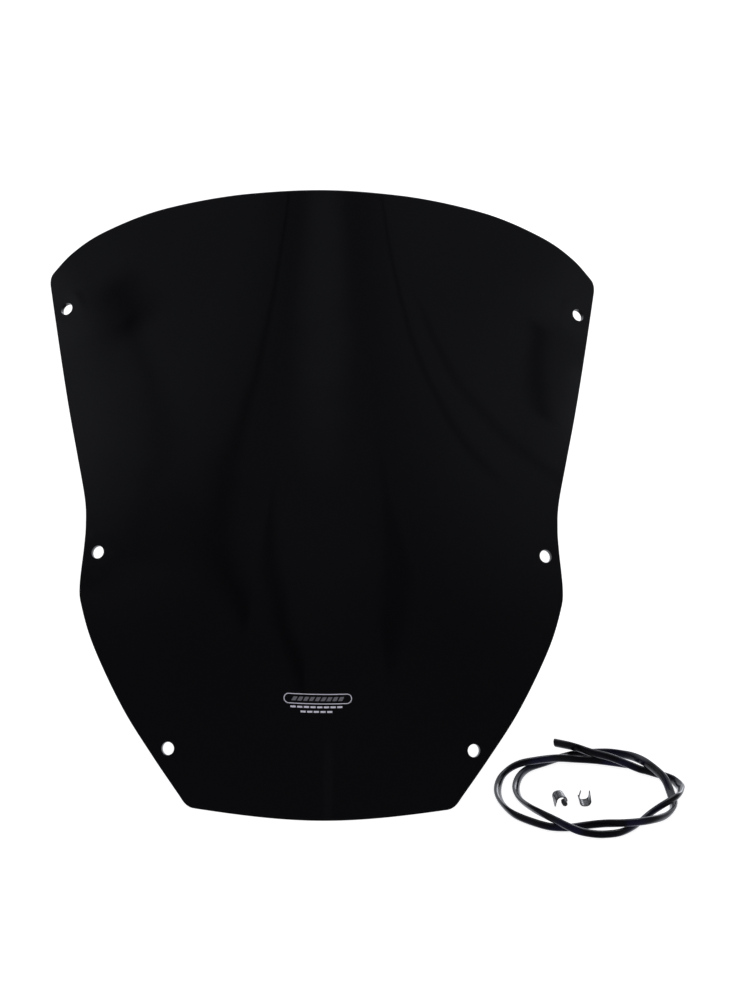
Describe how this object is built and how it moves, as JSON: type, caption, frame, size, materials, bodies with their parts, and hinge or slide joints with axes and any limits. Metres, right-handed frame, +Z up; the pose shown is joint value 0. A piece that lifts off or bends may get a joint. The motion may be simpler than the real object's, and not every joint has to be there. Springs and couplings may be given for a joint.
{
  "type": "motorcycle windshield screen",
  "caption": "Formed dark acrylic motorcycle windshield with six screw holes, shown with its loose coil of slit edge trim and its trim clips.",
  "frame": {"origin": "middle of the screen's lower edge, on the level that the coil of trim and the clips lie on", "axes": "+Z up, the screen's outer face looks along -Y and leans back towards +Y, +X across the screen"},
  "size_m": [0.3995, 0.2702, 0.3391],
  "materials": {
    "screen": "polished black acrylic",
    "trim": "smooth semi-gloss black vinyl",
    "clip": "rolled spring steel with a fine pressed pattern"
  },
  "bodies": {
    "screen": {"screen_panel": "screen"},
    "trim": {"edge_trim": "trim"},
    "left_clip": {"trim_clip_left": "clip"},
    "right_clip": {"trim_clip_right": "clip"}
  },
  "joints": [
    {"name": "trim_lift", "type": "slide", "parent": "screen", "child": "trim", "axis": [0, -0.6, 0.8], "range_m": [0, 0.15]},
    {"name": "left_clip_lift", "type": "slide", "parent": "screen", "child": "left_clip", "axis": [0, 0, 1], "range_m": [0, 0.15]},
    {"name": "right_clip_lift", "type": "slide", "parent": "screen", "child": "right_clip", "axis": [0, 0, 1], "range_m": [0, 0.15]}
  ]
}
